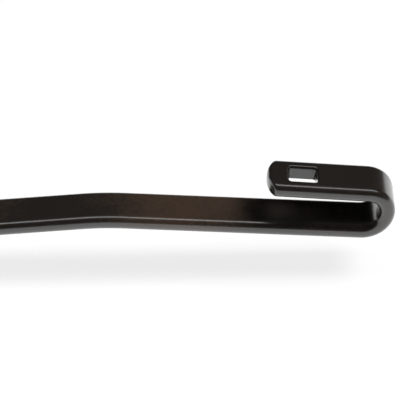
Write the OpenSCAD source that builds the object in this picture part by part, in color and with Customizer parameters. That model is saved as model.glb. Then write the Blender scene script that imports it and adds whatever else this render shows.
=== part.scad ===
// Wiper arm with a J-hook for the blade, lying on its back with its glass side up.
// X runs from the pivot to the hook, and the origin is the mouth of the pivot bore.

/* [Bar] */
// Width of the flat steel bar
bar_w = 9; // [8:0.5:10]
// Thickness of the flat steel bar
bar_t = 3; // [2.5:0.25:3.5]
// Radius of the bar's long edges
bar_edge_r = 1.4; // [0.6:0.1:1.4]
// Distance from the pivot bore to the start of the hook's bend
reach = 400; // [380:5:600]
// Slope at which the bar rises from the retainer
rise_deg = 4.2; // [2:0.2:6]
// Radius of the bend where the bar starts to rise
rise_bend_r = 60; // [40:5:80]
// Slope at which the bar drops to the hook
drop_deg = 4; // [2:0.2:6]
// Radius of the gentle kink between the rise and the drop
kink_r = 60; // [40:5:80]
// Straight length between the kink and the hook's bend
drop_straight = 45; // [35:0.5:60]

/* [Hook] */
// Centreline radius of the hook's wide bend, next to the bar
hook_wide_r = 4.75; // [4:0.25:6]
// Angle turned at the wide radius
hook_wide_deg = 115; // [90:5:130]
// Centreline radius of the tighter bend that leads into the free leg
hook_tight_r = 3.9; // [3:0.1:5]
// Angle by which the free leg opens away from the bar
hook_open_deg = 1.3; // [0:0.1:5]
// Length of the free leg from the bend to its nose
leg_l = 19.5; // [18:0.1:26]
// Radius of the rounded nose, seen from above
nose_r = 7.2; // [6:0.1:20]
// Length of the latch window along the leg
window_l = 5.5; // [5:0.1:8]
// Width of the latch window
window_w = 4.2; // [4.2:0.1:6]
// Corner radius of the latch window
window_r = 0.6; // [0.4:0.1:1.5]
// Metal left between the window and the nose
window_land = 4.1; // [3:0.1:6]

/* [Retainer] */
// Thickness of the retainer's sheet steel
sheet_t = 1.5; // [1.2:0.1:2]
// Outer radius of the sheet's long folds
fold_r = 2.5; // [2.1:0.1:3]
// Depth of the retainer at the hinge
channel_h = 20; // [18:0.5:22]
// Inner width of the retainer at the hinge
channel_w = 19.4; // [18:0.2:24]
// Distance from the pivot bore to where the retainer's back starts
back_start_x = 52; // [51.5:0.5:53]
// Distance from the pivot bore to where the retainer starts to narrow
taper_start_x = 80; // [70:1:100]
// Distance from the pivot bore to where the retainer has narrowed to the bar
taper_end_x = 165; // [160:1:175]
// Length of the narrow end that is crimped round the bar
crimp_l = 30; // [26:1:40]
// Gap on each side of the bar inside the crimped end
crimp_gap = 0.1; // [0.05:0.05:0.3]
// Length of each crimped tab
tab_l = 10; // [6:0.5:11]
// Distance that each tab reaches over the bar
tab_reach = 2.6; // [1.5:0.1:3.2]

/* [Hinge] */
// Distance from the pivot bore to the hinge pin
hinge_x = 45; // [44:0.5:47]
// Radius of the hinge pin
hinge_pin_r = 3; // [2.5:0.1:3.2]
// Radial running clearance of the hinge pin in its bushes
hinge_clear = 0.05; // [0.02:0.01:0.1]
// Wall of the bushes
bush_wall = 0.95; // [0.8:0.05:1.2]
// Thickness of the bushes' flanges
flange_t = 0.8; // [0.6:0.1:1]
// Radius of the bushes' flanges
flange_r = 6.2; // [5.5:0.1:6.4]
// Gap between each flange and the retainer's ear
ear_gap = 0.1; // [0.05:0.05:0.3]
// Height of the hinge pin's riveted heads
rivet_h = 1.3; // [1:0.1:2]
// Radius of the hinge pin's riveted heads
rivet_r = 4.6; // [4:0.1:5.5]

/* [Head] */
// Height of the pivot bore's mouth above the back of the arm
pivot_rise = 28; // [26:0.5:30]
// Radius of the pivot bore
bore_r = 6; // [5:0.1:6.5]
// Length of the pivot bore's wall
bore_l = 12; // [10:0.5:14]
// Depth of the countersink at the bore's mouth
countersink = 1; // [0.5:0.1:1.5]
// Radius of the round end of the head
boss_r = 13; // [12.5:0.1:14]
// Radius of the boss's raised face
boss_face_r = 10; // [8.5:0.1:11]
// Radius of the recess for the nut
recess_r = 10.2; // [9.8:0.1:10.6]
// Thickness of the head's cast walls
cast_t = 3; // [2.5:0.1:3.5]
// Radius of the head's hinge barrel
barrel_r = 7.5; // [7:0.1:8]
// Width of the slot between the head's two cheeks
slot_w = 8; // [7:0.2:9]
// Distance behind the hinge pin from which the slot goes right through the head
slot_through = 4; // [3.8:0.1:4.5]
// Reach of the two stop toes beyond the hinge pin
toe_l = 10; // [8.5:0.5:10.5]
// Gap between the stop toes and the retainer's back
toe_gap = 0.05; // [0.02:0.01:0.2]

/* [Nut cap] */
// Thickness of the cap's face
cap_t = 1.9; // [1.5:0.1:2.1]
// Gap between the cap and the head
cap_gap = 0.3; // [0.2:0.1:0.5]
// Thickness of the cap's skirt inside the recess
skirt_t = 1; // [0.8:0.1:1.4]
// Depth of the cap's skirt
skirt_h = 3.5; // [2:0.1:4]
// Gap between the skirt and the recess
skirt_gap = 0.8; // [0.6:0.1:1.2]
// Radius of the cap's two hinge pegs
peg_r = 1.1; // [0.9:0.1:1.3]
// Length of each hinge peg
peg_l = 2.2; // [1.6:0.1:2.4]

/* [Link and spring] */
// Distance of the link pin behind the hinge pin
link_back = 3; // [2.5:0.5:3.5]
// Height of the link pin above the hinge pin
link_up = 7; // [6.8:0.1:7.4]
// Radius of the link pin
link_pin_r = 2; // [1.8:0.1:2.2]
// Radius of the link's eye
link_eye_r = 3.9; // [3.6:0.1:4]
// Thickness of the link's plate
link_t = 3; // [2.5:0.25:3.5]
// Width of the link's curved strap
link_strap_w = 3.7; // [3:0.1:4]
// Length of the link from its pin to the spring's hole
link_l = 18; // [17.5:0.5:20]
// Diameter of the spring's wire
wire_d = 2; // [1.6:0.1:2.2]
// Outer diameter of the spring's coils
coil_d = 10; // [9:0.2:10.6]
// Number of whole turns in the coil
coil_turns = 25; // [18:1:27]
// Centreline radius of the spring's two end loops
loop_r = 3.5; // [3.2:0.1:3.8]
// Straight flat length of the bar's raised tongue inside the retainer
tongue_l = 9; // [8:0.5:10]
// Distance of the spring's hole from the tongue's end
tongue_land = 4.5; // [4:0.1:5]

/* [Hidden] */

$fn = 48;
paint = "#2b2826";
cast_paint = "#2f2d2b";
plastic = "#1f1f20";
zinc = "#b9b6aa";
spring_steel = "#57524c";
cut = 1;

back_z = -pivot_rise;
inner_back_z = back_z + sheet_t;
hinge_z = back_z + channel_h / 2;
ear_r = channel_h / 2;
channel_outer_w = channel_w + 2 * sheet_t;

bar_z = inner_back_z + bar_t / 2;
crimp_in_w = bar_w + 2 * crimp_gap;
crimp_h = bar_t + 2 * sheet_t;
retainer_end_x = taper_end_x + crimp_l;
free_run = 3;
rise_x = retainer_end_x + free_run;
rise_run = (rise_bend_r + kink_r) * sin(rise_deg) + kink_r * sin(drop_deg);
rise_straight = (reach - rise_x - rise_run - drop_straight * cos(drop_deg)) / cos(rise_deg);
kink_deg = rise_deg + drop_deg;
hook_tight_deg = 180 - hook_open_deg - hook_wide_deg;

head_w = channel_w - 2 * (ear_gap + flange_t);
head_back_z = hinge_z - barrel_r;
neck_x = hinge_x - 13;
neck_top_z = back_z + channel_h;
bush_r = hinge_pin_r + hinge_clear + bush_wall;
link_x = hinge_x - link_back;
link_z = hinge_z + link_up;

// The round end of the casting stops short of the neck's back, and its raised face is a low cone
boss_back_z = head_back_z + 0.5;
boss_shoulder_z = -4;
boss_cone = 2;
cheek_edge = 1;
cheek_corner_r = 5;
toe_drop = 3;
toe_inset = 0.7;
hollow_w = 17;
rib_x = neck_x - 8;
rib_t = 2;
rib_h = 6;
lug_w = 16;
lug_l = 4;
lug_h = 3.5;
lug_inset = 1;
overlap = 0.5;
peg_clear = 0.07;

cap_hinge_x = boss_r + 3.5;
cap_hinge_z = boss_back_z + 1.7;
cap_top_z = boss_back_z - cap_gap;
knuckle_r = 1.9;
knuckle_w = 8;
lug_gap = 0.3;
cap_sweep_r = cap_hinge_z - cap_top_z + cap_t + lug_gap + 0.1;
knuckle_room_w = knuckle_w + 2 * lug_gap;
skirt_foot = 0.2;

// The tongue climbs from the retainer's back and levels out along the spring
tongue_r = 8;
tongue_rise_deg = 25;
tongue_deg = 6.4;
tongue_climb = 3.5;
tongue_x = taper_end_x - 15;
tongue_turn_x = tongue_r * (2 * sin(tongue_rise_deg) - sin(tongue_deg));
tongue_turn_z = tongue_r * (1 - 2 * cos(tongue_rise_deg) + cos(tongue_deg));
anchor_run = tongue_l - tongue_land;
anchor_x = tongue_x - tongue_turn_x - tongue_climb * cos(tongue_rise_deg)
    - anchor_run * cos(tongue_deg);
anchor_z = bar_z + tongue_turn_z + tongue_climb * sin(tongue_rise_deg)
    + anchor_run * sin(tongue_deg);
anchor_hole_r = wire_d;

// The spring pulls along the line from the link pin to the hole in the tongue
pull_x = anchor_x - link_x;
pull_z = anchor_z - link_z;
pull_deg = atan2(-pull_z, pull_x);
spring_l = norm([pull_x, pull_z]) - link_l;
wire_r = wire_d / 2;
coil_r = (coil_d - wire_d) / 2;
link_hole_r = wire_r + 0.7;
link_pin_inset = 0.2;
link_end_r = 3.5;
link_plate_w = 4.8;
arch_clear = 0.9;
arch_rise = 1.5;

// Runs a section, drawn across Y and Z, along X
module along_x(length) {
    rotate([90, 0, 90]) linear_extrude(length) children();
}

// Gives a side view, drawn in X and Z, a width across Y
module across(width) {
    rotate([90, 0, 0]) linear_extrude(width, center = true) children();
}

// Round bar across Y through a point of the side view
module cross_rod(x, z, r, width) {
    translate([x, 0, z]) rotate([90, 0, 0]) cylinder(r = r, h = width, center = true);
}

// Box centred on Y, from one corner of the side view to the other
module centred_box(x1, x2, z1, z2, width) {
    translate([x1, -width / 2, z1]) cube([x2 - x1, width, z2 - z1]);
}

// Rectangle that stands on the line y = 0, with its two lower corners rounded
module tray(w, h, r) {
    translate([-w / 2, r]) square([w, h - r]);
    translate([r - w / 2, 0]) square([w - 2 * r, h / 2]);
    for (side = [-1, 1]) translate([side * (w / 2 - r), r]) circle(r = r);
}

// Rectangle about a centre, with four rounded corners
module rounded(w, h, r) {
    square([w, h - 2 * r], center = true);
    square([w - 2 * r, h], center = true);
    for (x = [-1, 1], y = [-1, 1]) translate([x * (w / 2 - r), y * (h / 2 - r)]) circle(r = r);
}

// A place on the bar's middle line is [x, z, slope], seen from the side
function go(p, length) = [p.x + length * cos(p.z), p.y + length * sin(p.z), p.z];

// Turns along a bend, to the left for a positive angle
function turn(p, radius, angle) =
    let (side = sign(angle) * radius, slope = p.z + angle)
        [p.x + side * (sin(slope) - sin(p.z)), p.y + side * (cos(p.z) - cos(slope)), slope];

// Follows a list of moves, each a straight length, then a bend's radius and angle
function follow(p, moves, i = 0) =
    i == len(moves) ? [p] :
    let (start = go(p, moves[i][0]), radius = moves[i][1], angle = moves[i][2],
         steps = ceil(abs(angle) / bend_step_deg),
         bend = [for (k = [0:steps]) turn(start, radius, angle * k / steps)])
        concat([p], moves[i][0] > 0 ? [for (k = [0:steps - 1]) bend[k]] : [for (k = [1:1:steps - 1]) bend[k]],
               follow(bend[steps], moves, i + 1));

bend_step_deg = 5;
tongue_tip = [anchor_x - tongue_land * cos(tongue_deg), anchor_z + tongue_land * sin(tongue_deg),
              -tongue_deg];
bar_line = follow(tongue_tip, [
    [tongue_l, tongue_r, tongue_deg - tongue_rise_deg],
    [tongue_climb, tongue_r, tongue_rise_deg],
    [rise_x - tongue_x, rise_bend_r, rise_deg],
    [rise_straight, kink_r, -kink_deg],
    [drop_straight, hook_wide_r, hook_wide_deg],
    [0, hook_tight_r, hook_tight_deg]]);
leg_start = bar_line[len(bar_line) - 1];

// Section of the bar as points, [across, up], with rounded corners
bar_section = [for (q = [0:3], a = [0:22.5:90])
    let (corner = q * 90 + a, x = q == 0 || q == 3 ? 1 : -1, y = q < 2 ? 1 : -1)
        [x * (bar_w / 2 - bar_edge_r) + bar_edge_r * cos(corner),
         y * (bar_t / 2 - bar_edge_r) + bar_edge_r * sin(corner)]];

// Skin of triangles through equal rings of points. The cap lists the faces that close a ring.
module rings_skin(rings, cap) {
    sides = len(rings[0]);
    last = len(rings) - 1;
    walls = [for (i = [0:last - 1], k = [0:sides - 1], half = [0, 1])
        let (a = i * sides + k, b = i * sides + (k + 1) % sides)
            half == 0 ? [a, b, b + sides] : [a, b + sides, a + sides]];
    first_cap = [for (face = cap) [for (k = [len(face) - 1:-1:0]) face[k]]];
    last_cap = [for (face = cap) [for (k = face) last * sides + k]];
    polyhedron([for (ring = rings, p = ring) p], concat(walls, first_cap, last_cap));
}

// Children drawn in the free leg's own frame, with X along the leg from the end of the bend
module in_leg() {
    translate([leg_start.x, 0, leg_start.y]) rotate([0, -leg_start.z, 0]) children();
}

// What the rounded nose leaves of a square end
module nose_cut() {
    difference() {
        translate([leg_l - nose_r / 5, -bar_w, -bar_t]) cube([nose_r, 2 * bar_w, 2 * bar_t]);
        translate([leg_l - nose_r, 0, -2 * bar_t]) cylinder(r = nose_r, h = 4 * bar_t, $fn = 96);
    }
}

// Flat bar from the raised tongue inside the retainer to the free leg of the J-hook
module arm_bar() {
    line = concat(bar_line, [go(leg_start, leg_l)]);
    color(paint) difference() {
        rings_skin([for (p = line) [for (s = bar_section)
            [p.x - s.y * sin(p.z), -s.x, p.y + s.y * cos(p.z)]]],
            [[for (k = [0:len(bar_section) - 1]) k]]);
        in_leg() nose_cut();
        in_leg() translate([leg_l - window_land - window_l / 2, 0, -bar_t])
            linear_extrude(2 * bar_t) rounded(window_l, window_w, window_r);
        translate([anchor_x, 0, anchor_z]) rotate([0, tongue_deg, 0])
            cylinder(r = anchor_hole_r, h = 2 * bar_t, center = true);
    }
}

// One face of the folded sheet, from the top of one wall round both folds to the other
function folded_face(w, h, r) = concat(
    [[w / 2, h]],
    [for (a = [0:15:90]) [w / 2 - r + r * cos(a), r - r * sin(a)]],
    [for (a = [90:15:180]) [r - w / 2 + r * cos(a), r - r * sin(a)]],
    [[-w / 2, h]]);

// Ring of points round the sheet's section: its outer face, then its inner face backwards
function channel_ring(x, inner_w, h) =
    let (outer = folded_face(inner_w + 2 * sheet_t, h, fold_r),
         inner = folded_face(inner_w, h - sheet_t, fold_r - sheet_t), last = len(inner) - 1)
        concat([for (p = outer) [x, p.x, back_z + p.y]],
               [for (k = [last:-1:0]) [x, inner[k].x, inner_back_z + inner[k].y]]);

// The channel narrows and gets shallower along a smooth curve, s going from 0 to 1
taper_steps = 10;
function taper_ring(s) =
    let (part = s * s * (3 - 2 * s))
        channel_ring(taper_start_x + s * (taper_end_x - taper_start_x),
                     channel_w + part * (crimp_in_w - channel_w),
                     channel_h + part * (crimp_h - channel_h));

// Folded sheet along its whole length, still square at the hinge
module channel_body() {
    rings = concat([channel_ring(hinge_x - ear_r, channel_w, channel_h)],
                   [for (i = [0:taper_steps]) taper_ring(i / taper_steps)],
                   [channel_ring(retainer_end_x, crimp_in_w, crimp_h)]);
    sides = len(rings[0]);
    rings_skin(rings, [for (k = [0:sides / 2 - 2], half = [0, 1])
        let (facing = sides - 1 - k)
            half == 0 ? [k, k + 1, facing - 1] : [k, facing - 1, facing]]);
}

// Tabs of the narrow end, folded over the bar
module crimp_tabs() {
    tab_space = (crimp_l - 2 * tab_l) / 3;
    for (i = [0, 1], side = [0, 1])
        translate([taper_end_x + tab_space + i * (tab_l + tab_space), 0, inner_back_z + bar_t])
            mirror([0, side, 0]) translate([0, bar_w / 2 - tab_reach, 0])
                cube([tab_l, tab_reach + crimp_gap + sheet_t / 2, sheet_t]);
}

module retainer() {
    color(paint) difference() {
        union() {
            channel_body();
            crimp_tabs();
        }
        // Round ends of the ears, the open mouth between them, and the hinge pin's holes
        across(2 * channel_outer_w) difference() {
            translate([hinge_x - 2 * ear_r, back_z - cut]) square([2 * ear_r, channel_h + 2 * cut]);
            translate([hinge_x, hinge_z]) circle(r = ear_r, $fn = 96);
        }
        centred_box(hinge_x - 2 * ear_r, back_start_x, back_z - cut, hinge_z, channel_w);
        cross_rod(hinge_x, hinge_z, hinge_pin_r, 2 * channel_outer_w);
    }
}

// Slice of the head where its flared end meets the parallel neck
module neck_slice() {
    slice_t = 0.5;
    fold = 2;
    translate([neck_x, 0, head_back_z])
        along_x(slice_t) tray(head_w, neck_top_z - head_back_z, fold, $fn = 32);
}

// Disc across Y with softened edges
module soft_disc(x, z, r) {
    cross_rod(x, z, r, head_w - 2 * cheek_edge, $fn = 32);
    cross_rod(x, z, r - cheek_edge, head_w, $fn = 32);
}

// Outside of the casting: round end, flared neck, hinge cheeks and stop toes
module head_form() {
    hull() {
        translate([0, 0, boss_back_z])
            cylinder(r = boss_r, h = boss_shoulder_z - boss_back_z, $fn = 64);
        neck_slice();
    }
    hull() {
        neck_slice();
        soft_disc(hinge_x, hinge_z, barrel_r);
        soft_disc(link_x, link_z, cheek_corner_r);
    }
    translate([0, 0, boss_shoulder_z])
        cylinder(r1 = boss_face_r + boss_cone, r2 = boss_face_r, h = countersink - boss_shoulder_z,
                 $fn = 64);
    centred_box(hinge_x, hinge_x + toe_l, inner_back_z + toe_gap, hinge_z - toe_drop,
                head_w - 2 * toe_inset);
}

// Hollow on the glass side, and the slot that the link swings in
module head_hollow() {
    floor_z = head_back_z + cast_t;
    above_z = countersink + cut;
    slice = 0.5;
    hull() {
        centred_box(boss_r + cast_t - slice, boss_r + cast_t, floor_z, above_z, hollow_w);
        centred_box(neck_x + 3 * slice, neck_x + 4 * slice, floor_z, above_z, head_w - 2 * cast_t);
    }
    centred_box(neck_x, hinge_x + 2 * barrel_r, floor_z, above_z, slot_w);
    centred_box(hinge_x - slot_through, hinge_x + 2 * barrel_r, back_z, above_z, slot_w);
}

module arm_head() {
    color(cast_paint)
    difference() {
        union() {
            difference() {
                head_form();
                head_hollow();
            }
            // Lugs that hold the cap's pegs, and a cross rib that stiffens the hollow
            centred_box(boss_r - overlap, cap_hinge_x + lug_l, head_back_z + lug_inset,
                        cap_hinge_z + lug_h, lug_w);
            centred_box(rib_x, rib_x + rib_t, head_back_z + lug_inset, hinge_z + rib_h, hollow_w);
        }
        // Pivot bore, with its countersink and the recess for the nut behind it
        translate([0, 0, -bore_l - cut]) cylinder(r = bore_r, h = bore_l + cut + countersink / 2);
        cylinder(r1 = bore_r, r2 = bore_r + countersink, h = countersink);
        translate([0, 0, countersink]) cylinder(r = bore_r + countersink, h = cut);
        translate([0, 0, boss_back_z - cut])
            cylinder(r = recess_r, h = -bore_l - boss_back_z + cut, $fn = 64);
        // Room for the cap's knuckle, and the holes for its pegs
        cross_rod(cap_hinge_x, cap_hinge_z, cap_sweep_r, knuckle_room_w);
        centred_box(cap_hinge_x, cap_hinge_x + cap_sweep_r, back_z, cap_hinge_z, knuckle_room_w);
        cross_rod(cap_hinge_x, cap_hinge_z, peg_r + peg_clear, knuckle_room_w + 2 * peg_l);
        // Holes for the hinge bushes and the link pin
        cross_rod(hinge_x, hinge_z, bush_r, 2 * head_w);
        cross_rod(link_x, link_z, link_pin_r, 2 * head_w);
    }
}

module nut_cap() {
    edge_r = cap_t * 0.75;
    skirt_r = recess_r - skirt_gap;
    color(plastic) {
        // Round face with a rounded rim, and the skirt that reaches into the recess
        translate([0, 0, cap_top_z]) mirror([0, 0, 1]) rotate_extrude($fn = 96) {
            square([boss_r - edge_r, cap_t]);
            square([boss_r, cap_t - edge_r]);
            translate([boss_r - edge_r, cap_t - edge_r]) intersection() {
                circle(r = edge_r);
                square(edge_r);
            }
        }
        translate([0, 0, cap_top_z - skirt_foot]) difference() {
            cylinder(r = skirt_r, h = skirt_h + skirt_foot, $fn = 64);
            translate([0, 0, -cut]) cylinder(r = skirt_r - skirt_t, h = skirt_h + 3 * cut, $fn = 64);
        }
        // Web, knuckle and pegs of the cap's hinge
        centred_box(boss_r - cap_t, cap_hinge_x + knuckle_r / 2, cap_top_z - cap_t, cap_top_z,
                    knuckle_w);
        centred_box(cap_hinge_x - knuckle_r / 2, cap_hinge_x + knuckle_r / 2,
                    cap_top_z - cap_t / 2, cap_hinge_z, knuckle_w);
        cross_rod(cap_hinge_x, cap_hinge_z, knuckle_r, knuckle_w);
        cross_rod(cap_hinge_x, cap_hinge_z, peg_r, knuckle_w + 2 * peg_l);
    }
}

// Flanged bush in one of the head's cheeks, on the side that the sign names
module hinge_bush(side) {
    color(zinc)
    translate([hinge_x, 0, hinge_z]) rotate([-90 * side, 0, 0]) difference() {
        union() {
            translate([0, 0, slot_w / 2]) cylinder(r = bush_r, h = head_w / 2 - slot_w / 2);
            translate([0, 0, head_w / 2]) cylinder(r = flange_r, h = flange_t);
        }
        cylinder(r = hinge_pin_r + hinge_clear, h = head_w);
    }
}

module near_bush() {
    hinge_bush(-1);
}

module far_bush() {
    hinge_bush(1);
}

module hinge_pin() {
    color(zinc) {
        cross_rod(hinge_x, hinge_z, hinge_pin_r, channel_outer_w);
        for (side = [-1, 1])
            translate([hinge_x, side * channel_outer_w / 2, hinge_z]) rotate([-90 * side, 0, 0]) {
                cylinder(r = rivet_r, h = rivet_h / 2);
                translate([0, 0, rivet_h / 2])
                    cylinder(r1 = rivet_r, r2 = rivet_r * 0.7, h = rivet_h / 2);
            }
    }
}

module link_pin() {
    color(zinc) cross_rod(link_x, link_z, link_pin_r, head_w - 2 * link_pin_inset);
}

// C-shaped link from the head's pin to the spring. Its arch leaves room for the hinge pin.
module spring_link() {
    arch_x = norm([link_back, link_up]) - 0.1;
    arch_in_r = hinge_pin_r + arch_clear;
    arch_out_r = arch_in_r + link_strap_w;
    arch_end_x = arch_x + arch_in_r;
    color(zinc)
    translate([link_x, 0, link_z]) rotate([0, pull_deg, 0]) across(link_t) difference() {
        union() {
            circle(r = link_eye_r);
            translate([arch_x, arch_rise]) difference() {
                circle(r = arch_out_r, $fn = 96);
                circle(r = arch_in_r, $fn = 96);
                translate([-2 * arch_out_r, -2 * arch_out_r])
                    square([4 * arch_out_r, 2 * arch_out_r]);
            }
            translate([arch_end_x, -link_plate_w / 2]) square([link_l - arch_end_x, link_plate_w]);
            translate([arch_end_x, 0]) square([link_strap_w, arch_rise + 0.01]);
            translate([link_l, 0]) circle(r = link_end_r);
        }
        circle(r = link_pin_r + hinge_clear);
        translate([link_l, 0]) circle(r = link_hole_r);
    }
}

// Middle line of the spring in its own frame: X runs from the link's hole to the tongue's hole
coil_margin = 2 * loop_r + 0.8 * wire_d;
coil_l = spring_l - 2 * coil_margin;
coil_turn_deg = 360 * (coil_turns + 0.25);
coil_steps = 12 * coil_turns + 3;
ease = 6;
function link_loop(a) = [loop_r + loop_r * cos(a), loop_r * sin(a), 0];
function anchor_loop(a) = [spring_l - loop_r + loop_r * cos(a), 0, loop_r * sin(a)];
function coil_point(a) =
    [coil_margin + coil_l * a / coil_turn_deg, coil_r * cos(a - 90), coil_r * sin(a - 90)];

// Smooth point between p and q, left and reached in the two directions given, s going from 0 to 1
function eased(p, p_dir, q, q_dir, s) =
    (2 * s ^ 3 - 3 * s ^ 2 + 1) * p + (s ^ 3 - 2 * s ^ 2 + s) * p_dir
    + (3 * s ^ 2 - 2 * s ^ 3) * q + (s ^ 3 - s ^ 2) * q_dir;
spring_line = concat(
    [for (a = [40:15:280]) link_loop(a)],
    [for (s = [0:0.2:0.8]) eased(link_loop(290), ease * [0.94, 0.34, 0], coil_point(0), [0, ease, 0], s)],
    [for (i = [0:coil_steps]) coil_point(i * coil_turn_deg / coil_steps)],
    [for (s = [0.2:0.2:0.8])
        eased(coil_point(coil_turn_deg), [0, 0, ease], anchor_loop(110), ease * [0.94, 0, 0.34], s)],
    [for (a = [110:-15:-145]) anchor_loop(a)]);

function unit(v) = v / norm(v);
function heading(line, i) = unit(line[min(i + 1, len(line) - 1)] - line[max(i - 1, 0)]);
function side_on(v, t) = unit(v - (v * t) * t);

// Round wire along a line of points, with a side vector carried from ring to ring
module wire(line, radius, sides = 6) {
    last = len(line) - 1;
    side_vectors = [for (i = 0, v = side_on([0, 0, 1], heading(line, 0)); i <= last;
                         i = i + 1, v = i <= last ? side_on(v, heading(line, i)) : v) v];
    rings_skin([for (i = [0:last]) let (t = heading(line, i), v = side_vectors[i])
        [for (k = [0:sides - 1])
            line[i] + radius * (cos(360 * k / sides) * v + sin(360 * k / sides) * cross(t, v))]],
        [[for (k = [0:sides - 1]) k]]);
}

module tension_spring() {
    color(spring_steel)
    translate([link_x + link_l * cos(pull_deg), 0, link_z - link_l * sin(pull_deg)])
        rotate([0, pull_deg, 0]) wire(spring_line, wire_r);
}

arm_head();
nut_cap();
near_bush();
far_bush();
hinge_pin();
link_pin();
spring_link();
tension_spring();
retainer();
arm_bar();
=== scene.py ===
# %% [markdown]
# # A wiper arm, finished in Blender
# The construction of this arm is already fixed: its pieces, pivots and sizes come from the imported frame.
# This lesson gives each piece its finish. The J-hook is bent again from a flat bar with soft edges, because
# the camera looks at it. The spring is wound again as a round wire, and the other pieces get the small
# radii that castings, stampings and turned pins have.

# %% Load the frame
import math

import bpy
from mathutils import Matrix, Vector


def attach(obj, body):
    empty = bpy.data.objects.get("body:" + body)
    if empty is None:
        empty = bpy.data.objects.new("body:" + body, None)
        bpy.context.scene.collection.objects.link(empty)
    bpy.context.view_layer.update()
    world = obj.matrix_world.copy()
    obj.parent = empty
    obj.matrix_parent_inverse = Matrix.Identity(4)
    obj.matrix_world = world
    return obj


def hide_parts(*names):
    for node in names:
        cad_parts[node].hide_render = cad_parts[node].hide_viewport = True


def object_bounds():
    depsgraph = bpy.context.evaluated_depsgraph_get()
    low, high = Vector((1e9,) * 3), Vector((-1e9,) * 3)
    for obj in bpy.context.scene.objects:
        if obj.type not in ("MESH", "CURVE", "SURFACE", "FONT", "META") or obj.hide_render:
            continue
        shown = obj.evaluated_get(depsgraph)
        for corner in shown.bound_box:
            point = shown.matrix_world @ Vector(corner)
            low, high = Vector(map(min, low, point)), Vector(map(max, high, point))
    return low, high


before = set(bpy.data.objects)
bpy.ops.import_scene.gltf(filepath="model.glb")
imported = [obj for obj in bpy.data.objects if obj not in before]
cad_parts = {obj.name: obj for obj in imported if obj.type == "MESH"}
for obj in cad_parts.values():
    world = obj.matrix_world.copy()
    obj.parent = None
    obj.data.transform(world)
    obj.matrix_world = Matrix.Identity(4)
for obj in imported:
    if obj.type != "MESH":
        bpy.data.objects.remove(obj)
cad_box = [list(corner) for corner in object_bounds()]
MM = 0.001
print("construction box in millimetres:", [[round(v / MM, 1) for v in corner] for corner in cad_box])

# %% [markdown]
# ## The camera
# The photograph was taken with a long lens, looking down on the hook at about 39 degrees and almost
# square to the arm. A long lens far away keeps parallel edges nearly parallel. The camera is aimed so
# that the point where the hook's bend starts falls on its place in the picture.

# %% Camera
PHOTO_SIZE = 400
VIEW_AZIMUTH, VIEW_ELEVATION = math.radians(-1.3), math.radians(39.36)
VIEW_DISTANCE = 568.9 * MM
PIXELS_PER_METRE = 5182.9
BEND_START_PIXEL = (358.8, 219.8)
BEND_START = Vector((400 * MM, 0, -17.38 * MM))

right = Vector((math.cos(VIEW_AZIMUTH), math.sin(VIEW_AZIMUTH), 0))
back = Vector((math.sin(VIEW_AZIMUTH) * math.cos(VIEW_ELEVATION),
               -math.cos(VIEW_AZIMUTH) * math.cos(VIEW_ELEVATION),
               math.sin(VIEW_ELEVATION)))
up = back.cross(right)
to_right = (PHOTO_SIZE / 2 - BEND_START_PIXEL[0]) / PIXELS_PER_METRE
to_top = (BEND_START_PIXEL[1] - PHOTO_SIZE / 2) / PIXELS_PER_METRE

bpy.ops.object.camera_add(location=BEND_START + back * VIEW_DISTANCE + right * to_right + up * to_top)
camera = bpy.context.object
camera.name = "photo_camera"
camera.rotation_euler = Matrix((right, up, back)).transposed().to_euler()
camera.data.sensor_width = 36
camera.data.lens = PIXELS_PER_METRE * VIEW_DISTANCE / PHOTO_SIZE * camera.data.sensor_width
camera.data.clip_start, camera.data.clip_end = 0.01, 200
bpy.context.scene.camera = camera
print("lens in millimetres:", round(camera.data.lens, 1))

# %% [markdown]
# ## Small helpers
# An operator acts on all that is selected, so every step starts by choosing one piece, or nothing. Smooth
# shading alone would average a large flat with the narrow round strip beside it and make it look dished.
# Normals weighted by face size cure that: the flat wins, and only the round strip shades as round.

# %% Selection helpers
FLAT, SIDE, TALL = Vector((1, 0, 0)), Vector((0, 1, 0)), Vector((0, 0, 1))


def only(piece):
    """Leaves one object selected and active."""
    nothing()
    piece.select_set(True)
    bpy.context.view_layer.objects.active = piece


def nothing():
    """Leaves edit mode and clears the selection, before a new primitive is added."""
    if bpy.context.object and bpy.context.object.mode != "OBJECT":
        bpy.ops.object.mode_set(mode="OBJECT")
    bpy.ops.object.select_all(action="DESELECT")


def edit_all(piece):
    """Opens a piece in edit mode, with all of its skin selected."""
    only(piece)
    bpy.ops.object.mode_set(mode="EDIT")
    bpy.ops.mesh.select_all(action="SELECT")


def choose_edges(piece):
    """Opens a piece in edit mode, ready to select edges, with none selected yet."""
    edit_all(piece)
    bpy.ops.mesh.select_mode(type="EDGE")
    bpy.ops.mesh.select_all(action="DESELECT")


def settle(piece):
    """Moves a piece's place, turn and size into its mesh, so that its object sits at the origin."""
    only(piece)
    bpy.ops.object.transform_apply(location=True, rotation=True, scale=True)


def apply_modifier(piece, kind, **settings):
    """Adds a modifier with its settings and applies it at once."""
    only(piece)
    change = piece.modifiers.new(kind.lower(), kind)
    for name, value in settings.items():
        setattr(change, name, value)
    bpy.ops.object.modifier_apply(modifier=change.name)


def cut_out(piece, cutter):
    """Takes the cutter's shape out of the piece and deletes the cutter."""
    apply_modifier(piece, "BOOLEAN", operation="DIFFERENCE", solver="EXACT", object=cutter)
    bpy.data.objects.remove(cutter)


def finish_shading(piece, degrees=32):
    """Smooth shading that keeps sharp edges, and keeps large flats flat up to their round rims."""
    only(piece)
    bpy.ops.object.shade_smooth_by_angle(angle=math.radians(degrees))
    apply_modifier(piece, "WEIGHTED_NORMAL", keep_sharp=True)

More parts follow.
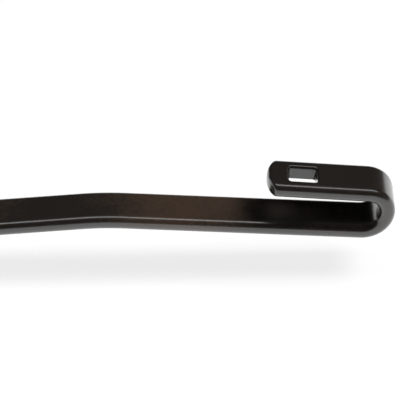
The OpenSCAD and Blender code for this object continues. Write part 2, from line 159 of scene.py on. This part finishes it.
# %% [markdown]
# ## The flat bar and its J-hook
# The real bar is drawn flat steel with rounded edges, bent cold in a former. The model is made the same
# way: one flat section with rounded corners is extruded along the straights and spun round the bends.
# Extrude and spin keep the section square to the bar all the way, which a curve with a bevel wouldn't do.

# %% A bender that follows the middle line
class BarBender:
    """Carries a selected section along straights, and round bends about the Y axis."""

    def __init__(self, start, slope_deg):
        self.place = start.copy()
        self.slope = math.radians(slope_deg)

    def along(self):
        return Vector((math.cos(self.slope), 0, math.sin(self.slope)))

    def upward(self):
        return Vector((-math.sin(self.slope), 0, math.cos(self.slope)))

    def straight(self, length):
        bpy.ops.mesh.extrude_region_move(TRANSFORM_OT_translate={"value": self.along() * length})
        self.place += self.along() * length

    def bend(self, radius, degrees, steps):
        side = math.copysign(1, degrees)
        centre = self.place + self.upward() * side * radius
        bpy.ops.mesh.spin(steps=steps, angle=math.radians(abs(degrees)), center=centre, axis=(0, side, 0))
        self.slope += math.radians(degrees)
        self.place = centre - self.upward() * side * radius

    def squeeze(self, width_factor, thickness_factor):
        """Scales the section across and through the bar, about the middle line."""
        axes = (self.along(), SIDE, self.upward())
        bpy.ops.transform.resize(value=(1, width_factor, thickness_factor), orient_type="LOCAL",
                                 orient_matrix=axes, orient_matrix_type="LOCAL",
                                 center_override=self.place)

# %% Section of the bar
BAR_W, BAR_T, BAR_EDGE_R = 9 * MM, 3 * MM, 1.4 * MM
TONGUE_TIP, TONGUE_DEG = Vector((132.014 * MM, 0, -21.068 * MM)), 6.4
SKIN_GAP = 0.002 * MM

nothing()
bpy.ops.mesh.primitive_plane_add(size=1, location=TONGUE_TIP,
                                 rotation=(0, math.radians(90 + TONGUE_DEG), 0))
bar = bpy.context.object
bar.name = "flat_bar"
bar.scale = (BAR_T, BAR_W, 1)
settle(bar)
edit_all(bar)
bpy.ops.mesh.bevel(offset=BAR_EDGE_R, segments=8, affect="VERTICES")

# %% [markdown]
# The moves are those of the construction: the raised tongue that the spring hooks into, the run inside
# the retainer, the gentle rise, the kink, the drop, and the hook. The hook has two radii, a wide one next
# to the bar and a tighter one that leads into the free leg. The leg gets one length up to the latch window
# and one along it, so that the window has faces of its own and its cut doesn't disturb the rest. The nose
# is made last, by extruding the section a little at a time and narrowing it along a shallow arc. That
# carries the bar's rounded edges round the nose, as they run on the real one, which a straight cut would
# sharpen.

# %% Bend the bar
TONGUE_L, SLANT_L, CRIMPED_L, RISE_L, DROP_L = 9 * MM, 3.5 * MM, 48 * MM, 144.52 * MM, 45 * MM
TONGUE_BEND_R, KINK_R, WIDE_R, TIGHT_R = 8 * MM, 60 * MM, 4.75 * MM, 3.9 * MM
SLANT_DEG, RISE_DEG, KINK_DEG, WIDE_DEG, TIGHT_DEG = 25, 4.2, 8.2, 115, 63.7
LEG_L, WINDOW_L, WINDOW_LAND, RIM_ROOM = 19.5 * MM, 5.5 * MM, 4.1 * MM, 1.2 * MM

bender = BarBender(TONGUE_TIP, -TONGUE_DEG)
bender.straight(TONGUE_L)
bender.bend(TONGUE_BEND_R, TONGUE_DEG - SLANT_DEG, steps=8)
bender.straight(SLANT_L)
bender.bend(TONGUE_BEND_R, SLANT_DEG, steps=10)
bender.straight(CRIMPED_L)
bender.bend(KINK_R, RISE_DEG, steps=5)
bender.straight(RISE_L)
bender.bend(KINK_R, -KINK_DEG, steps=9)
bender.straight(DROP_L)
bend_start = bender.place.copy()
bender.bend(WIDE_R, WIDE_DEG, steps=40)
bender.bend(TIGHT_R, TIGHT_DEG, steps=22)
leg_start, leg_slope = bender.place.copy(), bender.slope
bender.straight(LEG_L - WINDOW_LAND - WINDOW_L - RIM_ROOM)
bender.straight(WINDOW_L + 2 * RIM_ROOM)

# %% Draw out the nose
NOSE_R, CORNER_R, NOSE_RIM_R = 7.2 * MM, 0.8 * MM, 1.1 * MM


def nose_outline(corner_steps=6, arc_steps=14, last_deg=3):
    """Distance to the tip and half width, round the corner and along the arc."""
    reach = NOSE_R - CORNER_R
    corner_turn = math.asin((BAR_W / 2 - CORNER_R) / reach)
    corner_to_tip = NOSE_R - reach * math.cos(corner_turn)
    places = []
    for step in range(corner_steps + 1):
        turn = math.pi / 2 + (corner_turn - math.pi / 2) * step / corner_steps
        places.append((corner_to_tip - CORNER_R * math.cos(turn),
                       BAR_W / 2 - CORNER_R + CORNER_R * math.sin(turn)))
    for step in range(1, arc_steps + 1):
        turn = corner_turn + (math.radians(last_deg) - corner_turn) * step / arc_steps
        places.append((NOSE_R * (1 - math.cos(turn)), NOSE_R * math.sin(turn)))
    return places


def half_thickness(to_tip):
    """Half thickness of the bar at a distance to the tip, where the rim is rounded."""
    inside = max(NOSE_RIM_R - to_tip, 0)
    return BAR_T / 2 - NOSE_RIM_R + math.sqrt(NOSE_RIM_R**2 - inside**2)


to_tip, half_width = WINDOW_LAND - RIM_ROOM, BAR_W / 2
for next_to_tip, next_half_width in nose_outline():
    bender.straight(to_tip - next_to_tip)
    bender.squeeze(next_half_width / half_width, half_thickness(next_to_tip) / half_thickness(to_tip))
    to_tip, half_width = next_to_tip, next_half_width
nothing()
print("hook starts at", [round(v / MM, 2) for v in bend_start], "and its leg at",
      [round(v / MM, 2) for v in leg_start], "sloping", round(math.degrees(leg_slope), 1))

# %% [markdown]
# Spin and extrude leave doubled points where one move ends and the next begins, and both ends of the bar
# open. The points are merged, and each open end gets one face.

# %% Close and tidy the bar's skin
edit_all(bar)
bpy.ops.mesh.remove_doubles(threshold=SKIN_GAP)
choose_edges(bar)
bpy.ops.mesh.select_non_manifold(extend=False, use_wire=False, use_boundary=True,
                                 use_multi_face=False, use_non_contiguous=False, use_verts=False)
bpy.ops.mesh.edge_face_add()
bpy.ops.mesh.select_all(action="SELECT")
bpy.ops.mesh.normals_make_consistent(inside=False)
nothing()
print("bar:", len(bar.data.vertices), "vertices,", len(bar.data.polygons), "faces")

# %% [markdown]
# ## Latch window and spring hole
# A press punches the window through the leg and the spring hole through the tongue. Each is a cutter
# that is placed where the punch went and taken out of the bar with a boolean.

# %% Cutters in the leg's frame
LEG_FRAME = Matrix.Translation(leg_start) @ Matrix.Rotation(-leg_slope, 4, "Y")
WINDOW_IN_LEG = Vector((LEG_L - WINDOW_LAND - WINDOW_L / 2, 0, 0))
WINDOW_W, WINDOW_R = 4.2 * MM, 0.6 * MM


def window_cutter():
    """Block with four rounded upright edges, through the leg."""
    nothing()
    bpy.ops.mesh.primitive_cube_add(size=1)
    block = bpy.context.object
    block.scale = (WINDOW_L, WINDOW_W, 4 * BAR_T)
    settle(block)
    choose_edges(block)
    bpy.ops.object.mode_set(mode="OBJECT")
    for edge in block.data.edges:
        low, high = (block.data.vertices[i].co for i in edge.vertices)
        edge.select = abs(low.z - high.z) > BAR_T
    bpy.ops.object.mode_set(mode="EDIT")
    bpy.ops.mesh.bevel(offset=WINDOW_R, segments=8, affect="EDGES")
    nothing()
    block.matrix_world = LEG_FRAME @ Matrix.Translation(WINDOW_IN_LEG)
    settle(block)
    return block


cut_out(bar, window_cutter())
print("bar with its window:", len(bar.data.polygons), "faces")

# %% Hole in the tongue for the spring
ANCHOR, ANCHOR_HOLE_R = Vector((136.486 * MM, 0, -21.57 * MM)), 2 * MM

nothing()
bpy.ops.mesh.primitive_cylinder_add(vertices=48, radius=ANCHOR_HOLE_R, depth=4 * BAR_T, location=ANCHOR,
                                    rotation=(0, math.radians(TONGUE_DEG), 0))
hole = bpy.context.object
settle(hole)
cut_out(bar, hole)

# %% [markdown]
# The rims of the cuts are the only edges of the bar where two faces meet at a steep angle. They are found
# by that angle and by where they lie, so that each rim gets its own radius. A punch rolls the sheet over
# where it enters and leaves a crisp edge where it comes out, so the window's outer rim is much rounder
# than its inner one, and it is that round rim which catches the light. Overlap isn't clamped, because
# a single short edge would then hold back the whole rim.

# %% Soften the rims
RIM_ANGLE_DEG, RIM_GAP = 50, 0.01 * MM
ROLLED_RIM_R, CRISP_RIM_R, HOLE_RIM_R = 0.55 * MM, 0.15 * MM, 0.25 * MM
WINDOW_REACH, HOLE_REACH = 4.5 * MM, 4 * MM


def soften_rims(piece, near, reach, radius, facing=Vector()):
    """Bevels the sharp edges within reach of a place, on the side of it that faces a direction."""
    choose_edges(piece)
    bpy.ops.mesh.edges_select_sharp(sharpness=math.radians(RIM_ANGLE_DEG))
    bpy.ops.object.mode_set(mode="OBJECT")
    corners = piece.data.vertices
    for edge in piece.data.edges:
        if edge.select:
            away = [corners[i].co - near for i in edge.vertices]
            edge.select = all(gap.length < reach and gap.dot(facing) >= 0 for gap in away)
    count = sum(edge.select for edge in piece.data.edges)
    bpy.ops.object.mode_set(mode="EDIT")
    bpy.ops.mesh.bevel(offset=radius, offset_type="OFFSET", segments=5, affect="EDGES",
                       clamp_overlap=False, loop_slide=True)
    nothing()
    return count


edit_all(bar)
bpy.ops.mesh.remove_doubles(threshold=RIM_GAP)
nothing()
window_place = LEG_FRAME @ WINDOW_IN_LEG
rim_edges = {"outer window rim": soften_rims(bar, window_place, WINDOW_REACH, ROLLED_RIM_R, TALL),
             "inner window rim": soften_rims(bar, window_place, WINDOW_REACH, CRISP_RIM_R, -TALL),
             "spring hole": soften_rims(bar, ANCHOR, HOLE_REACH, HOLE_RIM_R)}
finish_shading(bar, 30)
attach(bar, "arm")
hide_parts("arm_bar")
print("softened rim edges:", rim_edges, "and the bar has", len(bar.data.polygons), "faces")

# %% [markdown]
# ## Tension spring
# A spring like this is wound close from hard-drawn wire, and each end is turned up into a loop. A helix
# can't be extruded by hand, so its middle line is worked out as points on a curve, and the curve's round
# bevel gives the wire. The curve is then made a mesh, as all the pieces of the arm are.

# %% Middle line of the spring
LINK_PIN = Vector((42 * MM, 0, -11 * MM))
LINK_L, WIRE_R, COIL_R, LOOP_R, NECK_L = 18 * MM, 1 * MM, 4 * MM, 3.5 * MM, 1.6 * MM
COIL_TURNS, COIL_STEPS, NECK_STEPS = 25.25, 606, 8
OFF_LINK_LOOP, ONTO_ANCHOR_LOOP, NECK_PULL = Vector((0.94, 0.34, 0)), Vector((0.94, 0, 0.34)), 6 * MM
pull = (ANCHOR - LINK_PIN).normalized()
SPRING_L = (ANCHOR - LINK_PIN).length - LINK_L
COIL_MARGIN = 2 * LOOP_R + NECK_L
COIL_L = SPRING_L - 2 * COIL_MARGIN


def circle_point(centre, radius, across, upright, degrees):
    """Point of a circle spanned by two directions."""
    turn = math.radians(degrees)
    return centre + radius * (math.cos(turn) * across + math.sin(turn) * upright)


def coil_point(turn):
    """Point of the helix after a number of turns."""
    start = Vector((COIL_MARGIN + COIL_L * turn / COIL_TURNS, 0, 0))
    return circle_point(start, COIL_R, SIDE, TALL, 360 * turn - 90)


def blend_points(start, leave, end, arrive, steps):
    """Smooth points between two places that leave and arrive in given directions."""
    points = []
    for step in range(1, steps):
        s = step / steps
        points.append((2 * s**3 - 3 * s**2 + 1) * start + (s**3 - 2 * s**2 + s) * leave
                      + (3 * s**2 - 2 * s**3) * end + (s**3 - s**2) * arrive)
    return points


link_loop = [circle_point(FLAT * LOOP_R, LOOP_R, FLAT, SIDE, a) for a in range(40, 291, 10)]
anchor_loop = [circle_point(FLAT * (SPRING_L - LOOP_R), LOOP_R, FLAT, TALL, a) for a in range(110, -146, -10)]
coil = [coil_point(COIL_TURNS * i / COIL_STEPS) for i in range(COIL_STEPS + 1)]
first_neck = blend_points(link_loop[-1], NECK_PULL * OFF_LINK_LOOP, coil[0], NECK_PULL * SIDE, NECK_STEPS)
last_neck = blend_points(coil[-1], NECK_PULL * TALL, anchor_loop[0], NECK_PULL * ONTO_ANCHOR_LOOP, NECK_STEPS)
spring_points = link_loop + first_neck + coil + last_neck + anchor_loop
print("spring:", round(SPRING_L / MM, 1), "mm between its loops,", len(spring_points), "points")

# %% Wind the spring
line = bpy.data.curves.new("spring_line", "CURVE")
line.dimensions = "3D"
line.bevel_depth = WIRE_R
line.bevel_resolution = 4
line.use_fill_caps = True
spline = line.splines.new("POLY")
spline.points.add(len(spring_points) - 1)
swing = Matrix.Rotation(math.atan2(-pull.z, pull.x), 4, "Y")
hook_end = LINK_PIN + pull * LINK_L
for point, place in zip(spline.points, spring_points):
    point.co = (*(hook_end + swing @ place), 1)
spring = bpy.data.objects.new("wound_spring", line)
bpy.context.collection.objects.link(spring)
only(spring)
bpy.ops.object.convert(target="MESH")
spring = bpy.context.object
finish_shading(spring, 60)
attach(spring, "spring")
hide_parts("tension_spring")
print("spring wire:", len(spring.data.polygons), "faces")

# %% [markdown]
# ## Pieces that keep the construction's shape
# The casting, the stamped channel, the cap and the turned pins already have their true shape, but their
# edges are as sharp as a drawing. A copy of each is merged into one skin, its flat triangles are
# dissolved into whole faces, and a bevel rounds the edges by as much as that way of making leaves. The
# casting and the cap have very short edges among their long ones, so their overlap isn't clamped, as on
# the rims above, and the casting's closest points are merged first.

# %% Rounded copies
FLAT_DEG = 0.5


def rounded_copy(node, name, body, radius, degrees=35, merge=SKIN_GAP, clamp=True):
    """Copies a construction piece, rounds its edges and lets the copy stand for it."""
    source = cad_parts[node]
    nothing()
    piece = source.copy()
    piece.data = source.data.copy()
    piece.name = name
    bpy.context.collection.objects.link(piece)
    piece.parent = None
    piece.matrix_world = Matrix.Identity(4)
    edit_all(piece)
    bpy.ops.mesh.remove_doubles(threshold=merge)
    bpy.ops.mesh.dissolve_limited(angle_limit=math.radians(FLAT_DEG))
    nothing()
    apply_modifier(piece, "BEVEL", width=radius, segments=3, limit_method="ANGLE",
                   angle_limit=math.radians(degrees), miter_outer="MITER_ARC", use_clamp_overlap=clamp)
    finish_shading(piece)
    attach(piece, body)
    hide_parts(node)
    print(name, len(source.data.polygons), "triangles became", len(piece.data.polygons), "faces")
    return piece


channel = rounded_copy("retainer", "stamped_channel", "arm", 0.25 * MM)
casting = rounded_copy("arm_head", "cast_head", "head", 0.3 * MM, merge=0.1 * MM, clamp=False)
cap = rounded_copy("nut_cap", "moulded_cap", "cap", 0.25 * MM, clamp=False)
near_bush = rounded_copy("near_bush", "near_flanged_bush", "head", 0.15 * MM)
far_bush = rounded_copy("far_bush", "far_flanged_bush", "head", 0.15 * MM)
rivet = rounded_copy("hinge_pin", "riveted_hinge_pin", "arm", 0.25 * MM, degrees=25)
dowel = rounded_copy("link_pin", "link_dowel", "head", 0.2 * MM)
link = rounded_copy("spring_link", "stamped_link", "link", 0.25 * MM)

# %% [markdown]
# ## Materials
# Every colour is written as the sRGB hex value that one sees and turned into the linear numbers that the
# shader works with. One function adds a node with its settings and links, and every material uses it.

# %% Material helpers
def linear(hex_colour):
    """sRGB hex colour to linear RGBA."""
    channels = [int(hex_colour[i:i + 2], 16) / 255 for i in (1, 3, 5)]
    return (*[c / 12.92 if c <= 0.04045 else ((c + 0.055) / 1.055) ** 2.4 for c in channels], 1)


def add_node(tree, kind, settings=None, inputs=None, links=None):
    """Adds a node. Inputs are values by socket, and links are outputs of other nodes by socket."""
    node = tree.nodes.new(kind)
    for name, value in (settings or {}).items():
        setattr(node, name, value)
    for socket, value in (inputs or {}).items():
        node.inputs[socket].default_value = value
    for socket, output in (links or {}).items():
        tree.links.new(output, node.inputs[socket])
    return node


def new_material(name):
    """Empty node material, with its output node."""
    material = bpy.data.materials.new(name)
    material.use_nodes = True
    material.node_tree.nodes.clear()
    return material, material.node_tree, add_node(material.node_tree, "ShaderNodeOutputMaterial")


def noise(tree, place, grain_mm, detail, settings=None, inputs=None):
    """Noise on the object, with a grain of a real size in millimetres."""
    return add_node(tree, "ShaderNodeTexNoise", settings,
                    {"Scale": 1 / (grain_mm * MM), "Detail": detail, **(inputs or {})},
                    {"Vector": place.outputs["Object"]})


def dress(piece, material):
    """Gives a piece its only material."""
    piece.data.materials.clear()
    piece.data.materials.append(material)
    for face in piece.data.polygons:
        face.material_index = 0

# %% [markdown]
# ### Black paint, cast or smooth
# The arm is phosphated and then coated black by dipping and spraying, which leaves a satin coat with a
# very faint orange peel. The eye reads it from three things: the roughness wanders a little from place to
# place, highlights on the round edges are slightly broken, and a painted warm sheen turns the black a
# lighter brown in random patches with a grainy rim. The same build serves the casting with a coarser
# grain, because the coat follows the skin of the die casting.

# %% Paint
# The noise sizes and thresholds below place the painted warm sheen: lighter brown patches at random, with a
# grainy rim.
BLOTCH_MM, SHEEN_GRAIN_MM, SHEEN_PATCH_MM = 12, 0.7, 24
SHEEN_GRAIN_SHARE, SHEEN_FROM, SHEEN_TO = 0.3, 0.6, 0.8


def black_paint(name, colour, sheen_colour, roughness, gloss, peel_mm, peel_height_mm, seed=0.0):
    """Black coating with orange peel of a real wavelength and height, under a fine glossier skin, with random
    patches of painted warm sheen.
    """
    material, tree, output = new_material(name)
    place = add_node(tree, "ShaderNodeTexCoord")
    blotches = noise(tree, place, BLOTCH_MM, 2.0)
    sheen_grain = noise(tree, place, SHEEN_GRAIN_MM, 3.0)
    peel = noise(tree, place, peel_mm, 1.0)
    sheen_patches = noise(tree, place, SHEEN_PATCH_MM, 3.0, {"noise_dimensions": "4D"}, {"W": seed})
    grainy_sheen = add_node(tree, "ShaderNodeMath", {"operation": "MULTIPLY_ADD"}, {1: SHEEN_GRAIN_SHARE},
                        {0: sheen_grain.outputs["Fac"], 2: sheen_patches.outputs["Fac"]})
    # Painted warm sheen: this mask mixes the lighter brown into the black inside the patches.
    sheen_mask = add_node(tree, "ShaderNodeMapRange", inputs={"From Min": SHEEN_FROM, "From Max": SHEEN_TO},
                    links={"Value": grainy_sheen.outputs[0]})
    tint = add_node(tree, "ShaderNodeMix", {"data_type": "RGBA"},
                    {6: linear(colour), 7: linear(sheen_colour)}, {0: sheen_mask.outputs["Result"]})
    rough = add_node(tree, "ShaderNodeMapRange",
                     inputs={"From Min": 0.3, "From Max": 0.7, "To Min": roughness - 0.04,
                             "To Max": roughness + 0.05},
                     links={"Value": blotches.outputs["Fac"]})
    bump = add_node(tree, "ShaderNodeBump", inputs={"Strength": 1.0, "Distance": peel_height_mm * MM},
                    links={"Height": peel.outputs["Fac"]})
    paint = add_node(tree, "ShaderNodeBsdfPrincipled",
                     inputs={"IOR": 1.6, "Coat Weight": 1.0, "Coat IOR": 1.6, "Coat Roughness": gloss},
                     links={"Base Color": tint.outputs[2], "Roughness": rough.outputs["Result"],
                            "Normal": bump.outputs["Normal"], "Coat Normal": bump.outputs["Normal"]})
    tree.links.new(paint.outputs["BSDF"], output.inputs["Surface"])
    return material


# The second colour of each paint is its painted warm sheen, the lighter brown of the patches.
bar_paint = black_paint("satin_black_paint_on_steel", "#25211e", "#43362d", 0.3, 0.18, 0.9, 0.0015, 0.2)
sheet_paint = black_paint("satin_black_paint_on_sheet", "#1a1816", "#352c26", 0.34, 0.22, 0.9, 0.002)
cast_paint = black_paint("satin_black_paint_on_casting", "#1c1a18", "#322a25", 0.5, 0.32, 0.5, 0.008)
dress(bar, bar_paint)
dress(channel, sheet_paint)
dress(casting, cast_paint)
print("painted the bar, the channel and the casting")

# %% [markdown]
# ### Moulded plastic
# The nut cap is injection moulded polypropylene in a mould with a spark-eroded grain. That grain breaks up
# reflections, so the cap looks flat and a little greyer than the paint beside it.

# %% Cap plastic
def grained_plastic(name, colour, grain_mm, grain_height_mm):
    """Matt moulded plastic with a fine eroded grain."""
    material, tree, output = new_material(name)
    place = add_node(tree, "ShaderNodeTexCoord")
    grain = noise(tree, place, grain_mm, 2.0)
    rough = add_node(tree, "ShaderNodeMapRange", inputs={"To Min": 0.48, "To Max": 0.62},
                     links={"Value": grain.outputs["Fac"]})
    bump = add_node(tree, "ShaderNodeBump", inputs={"Strength": 1.0, "Distance": grain_height_mm * MM},
                    links={"Height": grain.outputs["Fac"]})
    plastic = add_node(tree, "ShaderNodeBsdfPrincipled",
                       inputs={"Base Color": linear(colour), "IOR": 1.49},
                       links={"Roughness": rough.outputs["Result"], "Normal": bump.outputs["Normal"]})
    tree.links.new(plastic.outputs["BSDF"], output.inputs["Surface"])
    return material


dress(cap, grained_plastic("moulded_black_polypropylene", "#232324", 0.3, 0.015))
print("dressed the cap")

# %% [markdown]
# ### Bare metals
# Pins, bushes and link are zinc plated: a pale grey metal with a faint cloudiness from the bath. The
# spring is hardened wire with a dark oiled skin, which still shines on the crown of each turn.

# %% Plated steel and spring wire
def clouded_metal(name, colour, cloud_colour, roughness, cloud_mm):
    """Metal whose colour and roughness wander slowly over the surface."""
    material, tree, output = new_material(name)
    place = add_node(tree, "ShaderNodeTexCoord")
    cloud = noise(tree, place, cloud_mm, 4.0)
    tint = add_node(tree, "ShaderNodeMix", {"data_type": "RGBA"},
                    {6: linear(colour), 7: linear(cloud_colour)}, {0: cloud.outputs["Fac"]})
    rough = add_node(tree, "ShaderNodeMapRange",
                     inputs={"To Min": roughness - 0.08, "To Max": roughness + 0.08},
                     links={"Value": cloud.outputs["Fac"]})
    metal = add_node(tree, "ShaderNodeBsdfPrincipled", inputs={"Metallic": 1.0},
                     links={"Base Color": tint.outputs[2], "Roughness": rough.outputs["Result"]})
    tree.links.new(metal.outputs["BSDF"], output.inputs["Surface"])
    return material


zinc = clouded_metal("zinc_plated_steel", "#c4c2ba", "#a9a79f", 0.34, 2.5)
wire = clouded_metal("oiled_spring_wire", "#5d5852", "#3f3b37", 0.38, 1.5)
for plated in (near_bush, far_bush, rivet, dowel, link):
    dress(plated, zinc)
dress(spring, wire)
print("plated the pins, bushes and link, and oiled the spring")

# %% [markdown]
# ## Floor and light
# The photograph has a pure white ground. The floor is white and keeps a faint shadow: most of what the
# camera and the gloss see of it is a white glow, and the rest is a lit white surface, so that the two add
# up to white where nothing shades it. It is very large, so that it also fills the low views. The world is
# white at the horizon and dark above, like a white table in a dark studio, because the bar's top face
# mirrors the dark above the table.

# %% White floor
SHADOW_SHARE, GLOW, FLOOR_SIZE, FLOOR_GAP = 0.25, 1.09, 160, 0.02 * MM

nothing()
bpy.ops.mesh.primitive_plane_add(size=FLOOR_SIZE, location=(0.2, 0, cad_box[0][2] - FLOOR_GAP))
floor = bpy.context.object
floor.name = "floor"
settle(floor)
ground, tree, output = new_material("white_studio_ground")
ray = add_node(tree, "ShaderNodeLightPath")
seen = add_node(tree, "ShaderNodeMath", {"operation": "MAXIMUM"},
                links={0: ray.outputs["Is Camera Ray"], 1: ray.outputs["Is Glossy Ray"]})
seen = add_node(tree, "ShaderNodeMath", {"operation": "MAXIMUM"},
                links={0: seen.outputs[0], 1: ray.outputs["Is Transmission Ray"]})
share = add_node(tree, "ShaderNodeMath", {"operation": "MULTIPLY"}, {1: 1 - SHADOW_SHARE},
                 {0: seen.outputs[0]})
lit = add_node(tree, "ShaderNodeBsdfDiffuse", inputs={"Color": (0.9, 0.9, 0.9, 1)})
glow = add_node(tree, "ShaderNodeEmission", inputs={"Color": (1, 1, 1, 1), "Strength": GLOW})
both = add_node(tree, "ShaderNodeMixShader",
                links={0: share.outputs[0], 1: lit.outputs[0], 2: glow.outputs[0]})
tree.links.new(both.outputs[0], output.inputs["Surface"])
floor.data.materials.append(ground)
print("floor at", round(cad_box[0][2] / MM, 2), "mm")

# %% World
WHITE_UP_TO, DARK_FROM, DARK = 0.01, 0.08, (0.006, 0.0055, 0.005, 1)

world = bpy.data.worlds.new("dark_studio")
bpy.context.scene.world = world
world.use_nodes = True
tree = world.node_tree
tree.nodes.clear()
sky = add_node(tree, "ShaderNodeTexCoord")
direction = add_node(tree, "ShaderNodeSeparateXYZ", links={0: sky.outputs["Generated"]})
height = add_node(tree, "ShaderNodeMapRange", inputs={"From Min": WHITE_UP_TO, "From Max": DARK_FROM},
                  links={"Value": direction.outputs["Z"]})
fade = add_node(tree, "ShaderNodeMix", {"data_type": "RGBA"},
                {6: (1, 1, 1, 1), 7: DARK}, {0: height.outputs["Result"]})
light = add_node(tree, "ShaderNodeBackground", inputs={"Strength": 1.0}, links={"Color": fade.outputs[2]})
output = add_node(tree, "ShaderNodeOutputWorld", links={"Surface": light.outputs[0]})

# %% [markdown]
# Two lamps do all the work. A sun from the right lights the tops and the ground evenly, and the hook's
# leg and bend keep it off the bar inside the hook, which is black in the photograph. It is taken out of
# the gloss, where so small a source would burn spots into the round edges. A long narrow soft box over
# the arm gives the gloss its share: it draws the thin bright line along every rounded edge.

# %% Lamps
SUN_TILT, SUN_SPREAD, SUN_POWER = math.radians(32), math.radians(26), 2.5
STRIP_PLACE, STRIP_AIM = Vector((0.5, 0.05, 1.2)), Vector((0.5, 0, 0))
STRIP_L, STRIP_W, STRIP_WATTS = 1.6, 0.28, 4.0

nothing()
bpy.ops.object.light_add(type="SUN", location=(1.2, 0, 1), rotation=(0, SUN_TILT, 0))
high_right = bpy.context.object
high_right.name = "high_right"
high_right.data.energy, high_right.data.angle = SUN_POWER, SUN_SPREAD
high_right.visible_glossy = False

bpy.ops.object.light_add(type="AREA", location=STRIP_PLACE)
overhead_strip = bpy.context.object
overhead_strip.name = "overhead_strip"
overhead_strip.rotation_euler = (STRIP_PLACE - STRIP_AIM).to_track_quat("Z", "Y").to_euler()
overhead_strip.data.shape = "RECTANGLE"
overhead_strip.data.size, overhead_strip.data.size_y = STRIP_L, STRIP_W
overhead_strip.data.energy = STRIP_WATTS

bpy.context.scene.view_settings.view_transform = "Standard"
